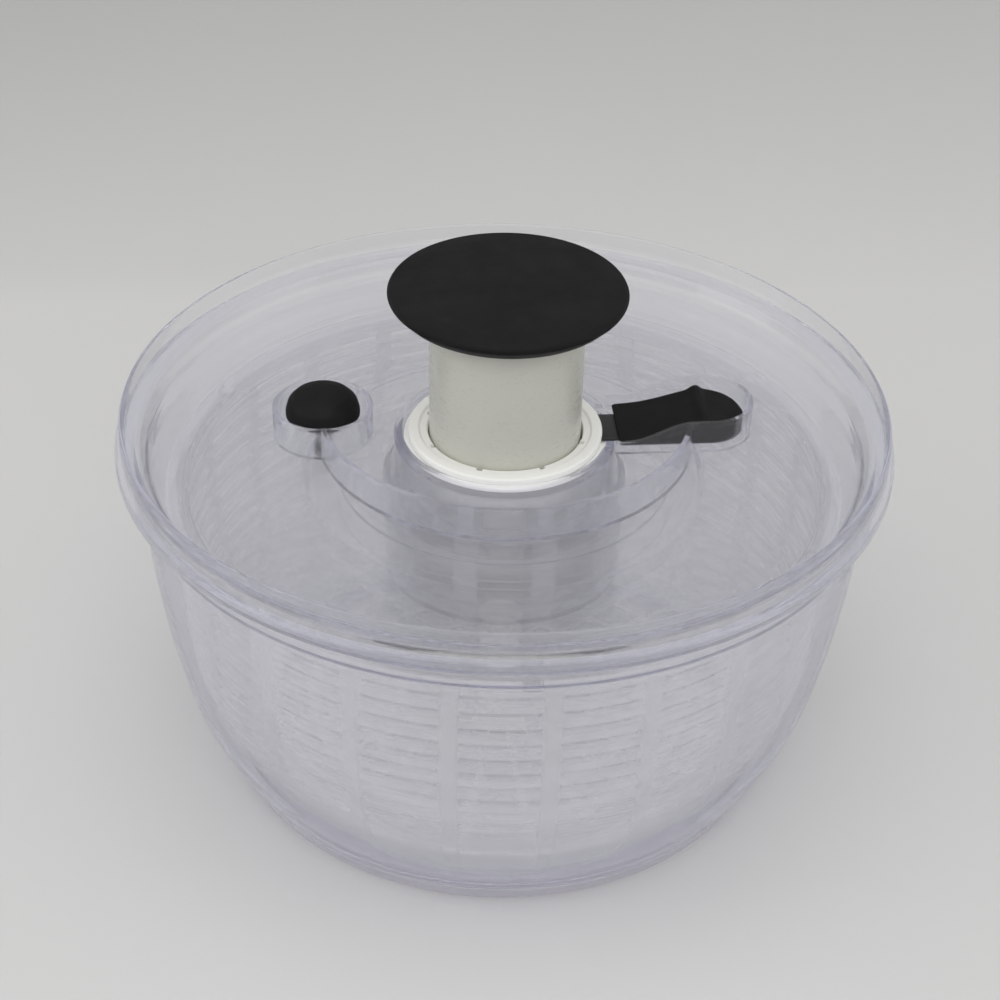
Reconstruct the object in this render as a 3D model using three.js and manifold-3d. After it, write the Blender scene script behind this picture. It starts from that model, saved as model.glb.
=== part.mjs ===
// Pump-action salad spinner: clear bowl, slotted basket, clear lid with a press
// knob, a helical drive, a brake button and a knob lock. Millimetres, +Z up,
// origin at the centre of the base. +X points at the lock lever, -X at the brake.
import * as THREE from 'three';
import { mergeVertices } from 'three/addons/utils/BufferGeometryUtils.js';
import Module from 'manifold-3d';

const wasm = await Module();
wasm.setup();

// ---- driving dimensions (mm) ----
const R_RIM = 138.2;            // outer radius of the bowl's rim flange
const R_LID = 136.2;            // outer radius of the lid, a step inside the flange
const LID_TOP = 146.8;          // crest of the lid rim
const LID_SEAT = 136.7;         // underside of the lid rim
const BOWL_TOP = 136.4;         // top of the bowl rim
const FLOOR_TOP = 132.0;        // upper face of the lid's dished floor
const FLOOR_LOW = 129.6;        // lower face of the lid's dished floor
const LIP_TOP = 144.0;          // top of the brake cup, lever bay and arc rib
const R_TUBE = 27.2;            // outer radius of the pump tube
const R_COLLAR = 34.9;          // outer radius of the white collar
const COLLAR_TOP = 134.6;
const R_KNOB = 41.9;            // outer radius of the knob
const KNOB_TOP = 191.8;
const PUMP_TRAVEL = 40;         // stroke of the knob, straight down
const LEAD = 40;                // lead of the drive spindle, per turn
const BRAKE_X = -64.94;         // axis of the brake button, slightly behind the X axis
const BRAKE_Y = 2.72;
const BRAKE_TRAVEL = 4;
const R_BUTTON = 13.2;
const LEVER_END = 72.5;         // centre of the lock lever's round end
const LOCK_TRAVEL = 4.6;
const R_DISC = 121;             // drive disc
const SEG = 36;                 // facets round the large turned pieces
const SEG_M = 24;               // facets round the pieces near the pump
const SEG_S = 16;               // facets round the small turned pieces
// Outside of the bowl wall, [radius, z]: it swells quickly above the foot, then steepens.
const BOWL_WALL = [[109.4, 16], [113.7, 25], [117.6, 34], [120.3, 43], [122.7, 54], [125.0, 66], [127.0, 80], [128.9, 97]];
const BOWL_THICK = 2.4;
// Outside of the basket wall, [radius, z], which keeps about 4 mm inside the bowl.
const BASKET_WALL = [[96.4, 11.4], [100, 14.5], [104, 20], [110, 30.5], [114, 42], [116.6, 52], [118.3, 66], [118.9, 82], [119.3, 111.2]];
const BASKET_RIBS = 22;         // upright ribs of the basket
const BASKET_PHASE = -86.5;     // angle of its first rib
const SLOT_MIDS = [43.1, 49.1, 55.2, 61.3, 67.5, 73.7, 79.9, 86.3, 92.9, 99.8, 106.6];  // heights of the slot rows
const SLOT_HIGH = 3.2;

// ---- helpers ----
const paint = (hex, rough, metal = 0, alpha = 1) => new THREE.MeshStandardMaterial({
  color: hex, roughness: rough, metalness: metal, transparent: alpha < 1, opacity: alpha,
});

// One closed, outward-facing, indexed geometry with only its positions.
function clean(geometry) {
  const g = geometry.clone();
  for (const name of Object.keys(g.attributes)) if (name !== 'position') g.deleteAttribute(name);
  const m = mergeVertices(g, 1e-4);
  const p = m.attributes.position, src = m.index.array, idx = [];
  let volume = 0;
  const a = new THREE.Vector3(), b = new THREE.Vector3(), c = new THREE.Vector3();
  for (let i = 0; i < src.length; i += 3) {
    const [u, v, w] = [src[i], src[i + 1], src[i + 2]];
    if (u === v || v === w || u === w) continue;
    idx.push(u, v, w);
    a.fromBufferAttribute(p, u); b.fromBufferAttribute(p, v); c.fromBufferAttribute(p, w);
    volume += a.dot(b.cross(c)) / 6;
  }
  if (volume < 0) for (let i = 0; i < idx.length; i += 3) [idx[i], idx[i + 1]] = [idx[i + 1], idx[i]];
  m.setIndex(idx);
  return m;
}

// A turned piece: profile points are [radius, height].
function turned(profile, seg = SEG_S) {
  const onAxis = profile[0][0] === 0 && profile[profile.length - 1][0] === 0;
  const pts = (onAxis ? profile : [...profile, profile[0]]).map(([r, z]) => new THREE.Vector2(r, z));
  const g = new THREE.LatheGeometry(pts, seg);
  g.rotateX(Math.PI / 2);
  return clean(g);
}

// A plan outline extruded upwards from z0 to z1.
function raised(shape, z0, z1, curveSegments = 12) {
  const g = new THREE.ExtrudeGeometry(shape, { depth: z1 - z0, bevelEnabled: false, curveSegments });
  g.translate(0, 0, z0);
  return clean(g);
}

// A side outline (x, z) extruded along Y from -half to +half.
function sideways(points, half) {
  const g = new THREE.ExtrudeGeometry(new THREE.Shape(points.map(([x, z]) => new THREE.Vector2(x, z))),
    { depth: 2 * half, bevelEnabled: false });
  g.rotateX(Math.PI / 2);
  g.translate(0, half, 0);
  return clean(g);
}

function block(x0, x1, y0, y1, z0, z1) {
  const g = new THREE.BoxGeometry(x1 - x0, y1 - y0, z1 - z0);
  g.translate((x0 + x1) / 2, (y0 + y1) / 2, (z0 + z1) / 2);
  return clean(g);
}

const body = (geometry) => new wasm.Manifold(new wasm.Mesh({
  numProp: 3,
  vertProperties: new Float32Array(geometry.attributes.position.array),
  triVerts: new Uint32Array(geometry.index.array),
}));

function skin(solid) {
  const m = solid.getMesh();
  const g = new THREE.BufferGeometry();
  g.setAttribute('position', new THREE.BufferAttribute(new Float32Array(m.vertProperties), 3));
  g.setIndex(Array.from(m.triVerts));
  return g;
}

const join = (first, ...rest) => skin(rest.reduce((s, g) => s.add(body(g)), body(first)));
const cut = (first, ...rest) => skin(rest.reduce((s, g) => s.subtract(body(g)), body(first)));
const common = (a, b) => skin(body(a).intersect(body(b)));
const turn = (geometry, degrees) => geometry.clone().rotateZ(THREE.MathUtils.degToRad(degrees));
const shift = (geometry, x, y, z) => geometry.clone().translate(x, y, z);

// The inner points of an open [radius, z] line, moved in by a wall thickness square to the line.
function inset(line, by) {
  return line.slice(1, -1).map(([r, z], i) => {
    const [[r0, z0], [r1, z1]] = [line[i], line[i + 2]], n = Math.hypot(r1 - r0, z1 - z0);
    return [r - by * (z1 - z0) / n, z + by * (r1 - r0) / n];
  });
}

// The radius of a [radius, z] line at a height.
function radiusAt(line, z) {
  const i = Math.max(1, line.findIndex((p) => p[1] >= z));
  const [[r0, z0], [r1, z1]] = [line[i - 1], line[i]];
  return r0 + (r1 - r0) * (z - z0) / (z1 - z0);
}

// A section of a ring in plan, between two angles in degrees.
function ringSector(rIn, rOut, a0, a1, steps) {
  const pts = [];
  for (let i = 0; i <= steps; i++) {
    const t = THREE.MathUtils.degToRad(a0 + (a1 - a0) * i / steps);
    pts.push(new THREE.Vector2(rOut * Math.cos(t), rOut * Math.sin(t)));
  }
  for (let i = steps; i >= 0; i--) {
    const t = THREE.MathUtils.degToRad(a0 + (a1 - a0) * i / steps);
    pts.push(new THREE.Vector2(rIn * Math.cos(t), rIn * Math.sin(t)));
  }
  return new THREE.Shape(pts);
}

// A round-ended bar in plan, square at x0 and round about (xEnd, 0).
function paddle(x0, xEnd, half, steps = 14) {
  const pts = [[x0, -half]];
  for (let i = 0; i <= steps; i++) {
    const t = -Math.PI / 2 + Math.PI * i / steps;
    pts.push([xEnd + half * Math.cos(t), half * Math.sin(t)]);
  }
  pts.push([x0, half]);
  return new THREE.Shape(pts.map(([x, y]) => new THREE.Vector2(x, y)));
}

// A coil spring with closed, flat-capped ends.
function coil(radius, wire, z0, z1, turns) {
  class Helix extends THREE.Curve {
    getPoint(t, target = new THREE.Vector3()) {
      const a = 2 * Math.PI * turns * t;
      return target.set(radius * Math.cos(a), radius * Math.sin(a), z0 + wire + (z1 - z0 - 2 * wire) * t);
    }
  }
  const section = new THREE.Shape();
  for (let i = 0; i < 5; i++) {
    const a = 2 * Math.PI * i / 5;
    section[i ? 'lineTo' : 'moveTo'](wire * Math.cos(a), wire * Math.sin(a));
  }
  section.closePath();
  return clean(new THREE.ExtrudeGeometry(section, {
    steps: Math.round(turns * 9), bevelEnabled: false, extrudePath: new Helix(),
  }));
}

// A round bar with two helical grooves, as a twisted prism.
function groovedBar(rOut, rRoot, grooveDeg, z0, z1, lead, layers) {
  const section = [];
  for (const side of [0, 180]) {
    const h = grooveDeg / 2, flank = 4;
    for (const [r, a] of [[rRoot, side - h + flank], [rRoot, side + h - flank], [rOut, side + h]]) section.push([r, a]);
    for (let k = 1; k <= 2; k++) section.push([rOut, side + h + (180 - 2 * h) * k / 2]);
  }
  const n = section.length, pos = [], idx = [];
  for (let j = 0; j <= layers; j++) {
    const z = z0 + (z1 - z0) * j / layers, twist = 360 * (z - z0) / lead;
    for (const [r, a] of section) {
      const t = THREE.MathUtils.degToRad(a + twist);
      pos.push(r * Math.cos(t), r * Math.sin(t), z);
    }
  }
  for (let j = 0; j < layers; j++) for (let i = 0; i < n; i++) {
    const a = j * n + i, b = j * n + (i + 1) % n;
    idx.push(a, b, b + n, a, b + n, a + n);
  }
  const low = pos.length / 3;
  pos.push(0, 0, z0, 0, 0, z1);
  for (let i = 0; i < n; i++) {
    idx.push(low, (i + 1) % n, i);
    idx.push(low + 1, layers * n + i, layers * n + (i + 1) % n);
  }
  const g = new THREE.BufferGeometry();
  g.setAttribute('position', new THREE.BufferAttribute(new Float32Array(pos), 3));
  g.setIndex(idx);
  return clean(g);
}

function piece(parent, name, geometry, material) {
  const mesh = new THREE.Mesh(geometry, material);
  mesh.name = name;
  parent.add(mesh);
  return mesh;
}

// ---- finishes ----
const clear = () => paint(0xdfe0ec, 0.06, 0, 0.3);
const frosted = () => paint(0xeeeef2, 0.35, 0, 0.6);
const white = () => paint(0xd8d8d2, 0.35);
const black = () => paint(0x202021, 0.6);
const steel = () => paint(0xb9bbbd, 0.3, 1);

const spinner = new THREE.Group();

// ---- bowl ----
const bowlGroup = new THREE.Group();
spinner.add(bowlGroup);
piece(bowlGroup, 'bowl', turned([
  [0, 1.9], [96.4, 1.9], [98.8, 2.9], [102.3, 8.5], [105.4, 8.5], ...BOWL_WALL,
  [130.4, 119.3], [131.9, 121.3], [132.8, 130.4], [137.2, 131.5], [R_RIM, 132.4], [R_RIM, 135.7], [137.6, BOWL_TOP], [131.2, BOWL_TOP],
  [130.4, 135.4], [129.7, 121.9], [128.0, 119.3], ...inset([[105.4, 8.5], ...BOWL_WALL, [130.4, 119.3]], BOWL_THICK).reverse(),
  [102.3, 9.6], [98.6, 6.4], [93.6, 4.8], [87.0, 4.4],
  [10, 4.4], [4.0, 7.5], [4.0, 15.6], [2.6, 16.8], [0, 17.0],
], SEG), clear());
piece(bowlGroup, 'base_grip_ring', turned([
  [90, 0], [100.4, 0], [102.2, 1.8], [105.1, 8.2], [102.7, 8.2],
  [99.3, 2.6], [96.6, 1.6], [90, 1.6],
], SEG), paint(0xb4b0b4, 0.5, 0, 0.6));

// ---- basket and the bush it turns on ----
const basketGroup = new THREE.Group();
spinner.add(basketGroup);
piece(basketGroup, 'pivot_bush', turned([
  [0, 17.3], [2.8, 17.1], [4.4, 15.8], [4.4, 8.2], [8.6, 8.2], [8.6, 19.2], [7.0, 20.6], [0, 20.6],
], SEG_S), paint(0xe8e8e4, 0.4));
{
  // The wall and floor are rows of [outer radius, z] and [inner radius, z]. A row of slots
  // lies between two of them, open between neighbouring ribs.
  const rows = [
    { o: [9.2, 11.0], i: [9.2, 19.3] }, { o: [14.5, 11.0], i: [14.2, 12.9] },
    { o: [93.4, 11.0], i: [92.6, 12.9] },
  ];
  const corner = BASKET_WALL.slice(0, 4);
  inset([[93.4, 11.0], ...corner, [114, 42]], 1.9).forEach((p, j) => rows.push({ o: corner[j], i: p }));
  const outer = (z) => radiusAt(BASKET_WALL, z);
  for (const mid of SLOT_MIDS) {
    const low = mid - SLOT_HIGH / 2, top = mid + SLOT_HIGH / 2;
    rows.push({ o: [outer(low), low], i: [outer(low) - 1.9, low + 0.2], slot: true });
    rows.push({ o: [outer(top), top], i: [outer(top) - 1.9, top + 0.2] });
  }
  rows.push({ o: [119.6, 111.4], i: [118.0, 112.0] }, { o: [122.6, 112.4], i: [118.0, 115.6] }, { o: [122.6, 114.8], i: [121.8, 115.6] });
  const rib = 1.3, bay = 360 / BASKET_RIBS, n = 2 * BASKET_RIBS, pos = [], idx = [];
  for (const { o, i } of rows) for (let k = 0; k < n; k++) {
    const t = THREE.MathUtils.degToRad(BASKET_PHASE + bay * Math.floor(k / 2) + (k % 2 ? rib : -rib));
    pos.push(o[0] * Math.cos(t), o[0] * Math.sin(t), o[1], i[0] * Math.cos(t), i[0] * Math.sin(t), i[1]);
  }
  const at = (r, k, side) => 2 * (r * n + ((k % n) + n) % n) + side;
  const full = (r, k) => r >= 0 && r < rows.length - 1 && !(rows[r].slot && (((k % 2) + 2) % 2) === 1);
  const quad = (p, q, r, s) => idx.push(p, q, r, p, r, s);
  for (let r = 0; r < rows.length - 1; r++) for (let k = 0; k < n; k++) {
    if (!full(r, k)) continue;
    quad(at(r, k, 0), at(r, k + 1, 0), at(r + 1, k + 1, 0), at(r + 1, k, 0));
    quad(at(r + 1, k, 1), at(r + 1, k + 1, 1), at(r, k + 1, 1), at(r, k, 1));
    if (!full(r - 1, k)) quad(at(r, k, 1), at(r, k + 1, 1), at(r, k + 1, 0), at(r, k, 0));
    if (!full(r + 1, k)) quad(at(r + 1, k, 0), at(r + 1, k + 1, 0), at(r + 1, k + 1, 1), at(r + 1, k, 1));
    if (!full(r, k - 1)) quad(at(r, k, 0), at(r + 1, k, 0), at(r + 1, k, 1), at(r, k, 1));
    if (!full(r, k + 1)) quad(at(r, k + 1, 1), at(r + 1, k + 1, 1), at(r + 1, k + 1, 0), at(r, k + 1, 0));
  }
  const wall = new THREE.BufferGeometry();
  wall.setAttribute('position', new THREE.BufferAttribute(new Float32Array(pos), 3));
  wall.setIndex(idx);
  const notches = [];
  for (let k = 0; k < 6; k++) notches.push(turn(block(114, 124, -3.4, 3.4, 113.0, 117), 30 + 60 * k));
  const g = cut(clean(wall), ...notches);
  piece(basketGroup, 'basket', g, frosted());
}

// ---- lid ----
const lidGroup = new THREE.Group();
spinner.add(lidGroup);
{
  const shell = turned([
    [R_LID, LID_SEAT], [R_LID, 145.2], [135.8, 146.4], [135.2, LID_TOP], [134.6, 146.4], [134.2, 141.4],
    [133.5, 140.4], [131.0, 139.3], [130.0, 138.2], [127.8, 133.0], [126.8, FLOOR_TOP],
    [39.9, FLOOR_TOP], [39.3, 134.0], [36.8, 134.0], [36.8, 104.3], [39.0, 104.3], [39.0, FLOOR_LOW],
    [125.8, FLOOR_LOW], [127.2, 130.6], [129.3, 136.0], [130.5, LID_SEAT],
  ], SEG);
  const cup = turned([[16.1, 130.6], [17.9, 130.6], [17.9, LIP_TOP - 0.4], [17.5, LIP_TOP], [16.5, LIP_TOP], [16.1, LIP_TOP - 0.4]], SEG_M);
  const bayWall = cut(raised(paddle(37.9, LEVER_END, 16.5), 130.6, LIP_TOP),
    raised(paddle(30.0, LEVER_END, 14.9), 129.0, LIP_TOP + 2));
  const slope = sideways([[34, 136.3], [45, 137.4], [57, 142.0], [64, LIP_TOP + 0.01], [64, 152], [34, 152]], 20);
  const rib = raised(ringSector(65.4, 67.4, -168.0, -13.7, 26), 131.0, LIP_TOP + 0.3);
  let g = join(shell, shift(cup, BRAKE_X, BRAKE_Y, 0), cut(bayWall, slope), rib);
  g = cut(g,
    block(34, 42, -14.3, 14.3, 132.05, 134.5),                         // way for the lever past the centre ring
    shift(turned([[0, 128], [2.9, 128], [2.9, 133], [0, 133]], SEG_S), BRAKE_X, BRAKE_Y, 0));  // brake stem hole
  piece(lidGroup, 'lid_shell', g, clear());
}
{
  let g = turned([
    [R_TUBE + 0.4, 132.1], [R_COLLAR, 132.1], [R_COLLAR, COLLAR_TOP - 0.6], [R_COLLAR - 0.6, COLLAR_TOP],
    [31.0, COLLAR_TOP], [30.4, 133.9], [R_TUBE + 0.4, 133.9],
  ], SEG_M);
  const notch = [];
  for (let k = 0; k < 8; k++) notch.push(turn(block(R_TUBE - 2, 29.6, -1.1, 1.1, 131, 136), 22.5 + 45 * k));
  g = cut(g, ...notch, block(26, 37, -8.6, 8.6, 131, 133.75));
  piece(lidGroup, 'collar_ring', g, white());
}
{
  let g = turned([
    [7.3, 76.4], [36.4, 76.4], [36.4, 131.8], [34.4, 131.8], [34.4, 79.0], [7.3, 79.0],
  ], SEG_M);
  const windows = [];
  for (let k = 0; k < 4; k++) windows.push(turn(block(-40, 40, -9.6, 9.6, 84, 119.4), 45 * k));
  g = cut(g, ...windows);
  piece(lidGroup, 'pump_housing', g, white());
}
piece(lidGroup, 'guide_bush', turned([
  [R_TUBE + 0.4, 121.2], [34.1, 121.2], [34.1, 131.7], [R_TUBE + 0.4, 131.7],
], SEG_M), paint(0xe2e2dd, 0.4));
piece(lidGroup, 'disc_bearing_ring', turned([
  [36.8, 98.5], [40.1, 98.5], [40.1, 104.0], [36.8, 104.0],
], SEG), paint(0xececea, 0.35));
piece(lidGroup, 'spindle_bearing', turned([
  [4.1, 76.5], [7.0, 76.5], [7.0, 79.2], [4.1, 79.2],
], SEG_S), paint(0xc9a15a, 0.35, 1));
piece(lidGroup, 'return_spring', coil(9, 0.7, 133.5, 184.0, 6), steel());

// ---- pump: knob, tube and drive nut ----
const pumpGroup = new THREE.Group();
lidGroup.add(pumpGroup);
piece(pumpGroup, 'knob_cap', turned([
  [0, 187.1], [37.5, 187.1], [40.4, 187.4], [R_KNOB - 0.4, 188.3], [R_KNOB, 189.4], [R_KNOB - 0.5, 190.5], [40.3, 191.2],
  [34.0, 191.6], [0, KNOB_TOP],
], SEG), black());
piece(pumpGroup, 'knob_core', turned([
  [3.0, 184.3], [20.0, 184.3], [20.0, 176.0], [24.4, 176.0], [24.4, 184.3], [37.0, 184.3], [38.4, 185.0], [38.4, 186.8], [3.0, 186.8],
], SEG_M), paint(0x2a2a2c, 0.5));
piece(pumpGroup, 'knob_screw', turned([
  [0, 178.0], [2.6, 178.0], [2.6, 186.7], [0, 186.7],
], 12), steel());
{
  const latch = block(24, 29, -5, 5, 172.3, 176.0);
  const g = cut(turned([
    [24.8, 120.5], [R_TUBE, 120.5], [R_TUBE, 184.0], [24.8, 184.0],
  ], SEG_M), latch);
  piece(pumpGroup, 'pump_tube', g, paint(0xdadad4, 0.3));
}
{
  const ring = turned([[7.6, 124.0], [24.5, 124.0], [24.5, 127.6], [7.6, 127.6]], SEG_M);
  const lug = (side) => {
    const g = new THREE.CylinderGeometry(1.0, 1.0, 3.4, 8);
    g.rotateZ(Math.PI / 2);
    g.translate(side * (5.6 + 1.7), 0, 125.8);
    return clean(g);
  };
  piece(pumpGroup, 'drive_nut', join(ring, lug(1), lug(-1)), paint(0xcfcfca, 0.4));
}

// ---- spindle and one-way clutch rotor ----
const spindleGroup = new THREE.Group();
lidGroup.add(spindleGroup);
{
  const bar = groovedBar(7.0, 4.8, 56, 80.2, 131.0, LEAD, 18);
  // Turn the bar so that its grooves stand at the nut's lugs with the pump up.
  const aligned = turn(bar, -360 * (125.8 - 80.2) / LEAD);
  const journal = turned([[0, 75.2], [1.8, 75.2], [1.8, 66.8], [3.8, 66.8], [3.8, 80.8], [0, 80.8]], 12);
  piece(spindleGroup, 'drive_spindle', join(aligned, journal), paint(0xd2d2ce, 0.35));
}
piece(spindleGroup, 'spring_seat', turned([
  [0, 131.3], [11.0, 131.3], [11.0, 133.2], [7.6, 133.2], [7.0, 135.6], [0, 135.6],
], SEG_S), paint(0xe4e4e0, 0.35));
piece(spindleGroup, 'clutch_rotor', turned([
  [4.1, 66.8], [10.0, 66.8], [10.0, 75.6], [4.1, 75.6],
], SEG_S), paint(0x8f9398, 0.4));
piece(spindleGroup, 'rotor_screw', turned([
  [0, 64.5], [4.4, 64.5], [4.4, 66.4], [1.5, 66.4], [1.5, 74.6], [0, 74.6],
], 12), steel());
for (const k of [0, 1]) {
  const pawl = new THREE.Shape([[10.4, -2.4], [11.6, -2.6], [13.7, 2.2], [13.3, 3.0], [10.6, 1.4]].map(([x, y]) => new THREE.Vector2(x, y)));
  piece(spindleGroup, `clutch_pawl_${k + 1}`, turn(raised(pawl, 68.0, 74.6), 180 * k), steel());
}

// ---- drive disc with its hub ----
const driveGroup = new THREE.Group();
lidGroup.add(driveGroup);
{
  let g = turned([
    [20.0, 64.3], [22.0, 64.3], [22.0, 74.0], [42.5, 74.0], [42.5, 115.7], [58.8, 115.7], [60.2, 116.5], [69.6, 116.5], [72.0, 114.3],
    [114.2, 114.3], [114.2, 109.8], [116.0, 109.8], [116.0, 116.0], [R_DISC - 0.6, 116.0], [R_DISC, 116.6], [R_DISC - 0.6, 117.9],
    [117.0, 117.9], [115.4, 116.5], [73.0, 116.5], [71.4, 118.5], [59.2, 118.5], [58.2, 117.6], [40.5, 117.6],
    [40.5, 106.6], [39.5, 106.2], [39.5, 104.4], [40.5, 104.4], [40.5, 76.0], [20.0, 76.0],
  ], SEG);
  const lugs = [];
  for (let k = 0; k < 6; k++) lugs.push(turn(block(115.4, 120.4, -2.4, 2.4, 113.5, 117), 30 + 60 * k));
  const holes = [];
  for (let k = 0; k < 3; k++) holes.push(turn(shift(turned([[0, 73], [1.6, 73], [1.6, 77], [0, 77]], 10), 28.5, 0, 0), 90 + 120 * k));
  g = join(g, ...lugs);
  g = cut(g, ...holes);
  piece(driveGroup, 'drive_disc', g, clear());
}
{
  const teeth = 12, pts = [];
  for (let k = 0; k < teeth; k++) {
    for (const [r, f] of [[14.4, 0], [14.4, 0.16], [16.6, 0.9]]) {
      const t = 2 * Math.PI * (k + f) / teeth;
      pts.push(new THREE.Vector2(r * Math.cos(t), r * Math.sin(t)));
    }
  }
  const shape = new THREE.Shape();
  for (let i = 0; i < 36; i++) {
    const t = 2 * Math.PI * i / 36;
    shape[i ? 'lineTo' : 'moveTo'](19.6 * Math.cos(t), 19.6 * Math.sin(t));
  }
  shape.closePath();
  shape.holes.push(new THREE.Path(pts.reverse()));
  piece(driveGroup, 'ratchet_ring', raised(shape, 66.6, 75.4), paint(0xd9d9d4, 0.4));
}
{
  const holes = [];
  for (let k = 0; k < 3; k++) holes.push(turn(shift(turned([[0, 70], [1.6, 70], [1.6, 75], [0, 75]], 10), 28.5, 0, 0), 90 + 120 * k));
  piece(driveGroup, 'hub_cap', cut(turned([
    [0, 60.0], [20.5, 60.0], [24.2, 63.0], [24.2, 71.4], [33.4, 71.4], [34.0, 72.0], [34.0, 73.7], [22.4, 73.7], [22.4, 64.0], [20.0, 62.2], [0, 62.2],
  ], SEG_M), ...holes), clear());
}
for (let k = 0; k < 3; k++) {
  const screw = turned([[0, 68.8], [2.9, 68.8], [2.9, 71.1], [1.3, 71.1], [1.3, 75.8], [0, 75.8]], 10);
  const mesh = piece(driveGroup, `hub_screw_${k + 1}`, screw, steel());
  const t = THREE.MathUtils.degToRad(90 + 120 * k);
  mesh.position.set(28.5 * Math.cos(t), 28.5 * Math.sin(t), 0);
}

// ---- brake ----
const brakeGroup = new THREE.Group();
brakeGroup.position.set(BRAKE_X, BRAKE_Y, 0);
lidGroup.add(brakeGroup);
piece(brakeGroup, 'brake_button', turned([
  [0, 142.0], [8.5, 141.6], [11.0, 141.0], [11.2, 139.6], [12.8, 139.6], [R_BUTTON, 140.2], [R_BUTTON, 142.0], [12.3, 145.4],
  [9.8, 148.0], [5.7, 149.3], [0, 149.7],
], 20), black());
piece(brakeGroup, 'brake_stem', turned([
  [0, 127.4], [2.4, 127.4], [2.4, 139.2], [7.4, 139.2], [7.4, 140.6], [0, 140.6],
], SEG_S), white());
piece(brakeGroup, 'brake_pad', turned([
  [0, 122.9], [3.2, 122.9], [3.4, 123.2], [3.4, 127.1], [0, 127.1],
], SEG_S), paint(0x55585a, 0.8));
piece(brakeGroup, 'brake_spring', coil(4.6, 0.35, 132.2, 139.0, 5), steel());

// ---- knob lock ----
const lockGroup = new THREE.Group();
lidGroup.add(lockGroup);
{
  const plan = raised(paddle(40.0, LEVER_END, 13.4), 133.2, 146);
  const side = sideways([
    [39, 133.75], [88, 133.75], [88, 139.0], [84.5, 139.8], [78, 140.3], [73.2, 140.8], [71.2, 142.6], [69.0, 142.6], [66.6, 140.6],
    [62, 139.2], [56, 137.4], [50, 136.0], [45, 135.2], [39, 134.8],
  ], 15);
  piece(lockGroup, 'lock_lever', common(plan, side), black());
}
piece(lockGroup, 'lock_slide', raised(new THREE.Shape([[32.5, -8.2], [66, -8.2], [66, 8.2], [32.5, 8.2]].map(([x, y]) => new THREE.Vector2(x, y))), 132.3, 133.4),
  paint(0x1c1c1d, 0.5));

export default spinner;
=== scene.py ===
import bpy
import math
import numpy as np
from mathutils import Matrix, Vector


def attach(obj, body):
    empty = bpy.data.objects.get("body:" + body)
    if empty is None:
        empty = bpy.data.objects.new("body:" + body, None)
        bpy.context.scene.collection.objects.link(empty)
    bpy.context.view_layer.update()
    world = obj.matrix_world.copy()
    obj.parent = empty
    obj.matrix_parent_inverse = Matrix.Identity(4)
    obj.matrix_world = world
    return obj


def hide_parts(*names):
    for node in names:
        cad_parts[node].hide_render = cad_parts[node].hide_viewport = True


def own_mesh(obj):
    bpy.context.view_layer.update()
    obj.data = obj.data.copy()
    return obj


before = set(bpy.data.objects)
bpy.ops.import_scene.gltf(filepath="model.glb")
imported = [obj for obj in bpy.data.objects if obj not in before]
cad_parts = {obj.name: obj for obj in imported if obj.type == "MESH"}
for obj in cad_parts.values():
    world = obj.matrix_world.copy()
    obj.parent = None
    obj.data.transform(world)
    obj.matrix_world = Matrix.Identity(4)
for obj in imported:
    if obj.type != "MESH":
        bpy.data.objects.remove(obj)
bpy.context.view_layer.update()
scene = bpy.context.scene
MM = 0.001
TAU = 2 * math.pi

# ------------------------------------------------------------------ camera
# Solved from the circles of rim, base, collar and knob. The picture's view
# comes from 5 degrees clockwise of -Y, so brake and lever lie a little turned.
TWIST = math.radians(-5.0)
FOCAL_PX, DIST, ELEV, ROLL = 2055.72, 755.656, math.radians(34.49), 0.0225
AIM = Vector((-1.234, 0.0, 102.282))
back = Vector((0, -math.cos(ELEV), math.sin(ELEV)))
eye = AIM + back * DIST
fwd = -back
right = Vector((1, 0, 0))
up = right.cross(fwd)
r2 = right * math.cos(ROLL) + up * math.sin(ROLL)
u2 = -right * math.sin(ROLL) + up * math.cos(ROLL)
spin = Matrix.Rotation(TWIST, 4, "Z")
cam_data = bpy.data.cameras.new("camera")
cam_data.sensor_fit = "HORIZONTAL"
cam_data.sensor_width = 36.0
cam_data.lens = FOCAL_PX / 1000.0 * 36.0
cam_data.clip_start = 0.01
cam_data.clip_end = 50
cam = bpy.data.objects.new("camera", cam_data)
scene.collection.objects.link(cam)
pose = Matrix((
    (r2.x, u2.x, back.x, eye.x * MM),
    (r2.y, u2.y, back.y, eye.y * MM),
    (r2.z, u2.z, back.z, eye.z * MM),
    (0, 0, 0, 1)))
cam.matrix_world = spin @ pose
scene.camera = cam


# ------------------------------------------------------------------ mesh tools
def mesh_object(name, verts, faces, sharp=38.0):
    me = bpy.data.meshes.new(name)
    me.from_pydata([tuple(v) for v in verts], [], [tuple(f) for f in faces])
    me.validate(verbose=False)
    me.update()
    ob = bpy.data.objects.new(name, me)
    scene.collection.objects.link(ob)
    tidy(ob, sharp)
    return ob


def volume_sign(me):
    me.calc_loop_triangles()
    n = len(me.loop_triangles)
    tri = np.zeros(n * 3, np.int32)
    me.loop_triangles.foreach_get("vertices", tri)
    co = np.zeros(len(me.vertices) * 3, np.float64)
    me.vertices.foreach_get("co", co)
    t = co.reshape(-1, 3)[tri.reshape(-1, 3)]
    return float(np.einsum("ij,ij->i", t[:, 0], np.cross(t[:, 1], t[:, 2])).sum())


def tidy(ob, sharp=38.0):
    me = ob.data
    if volume_sign(me) < 0:
        me.flip_normals()
    me.polygons.foreach_set("use_smooth", [True] * len(me.polygons))
    me.set_sharp_from_angle(angle=math.radians(sharp))
    me.update()


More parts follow.
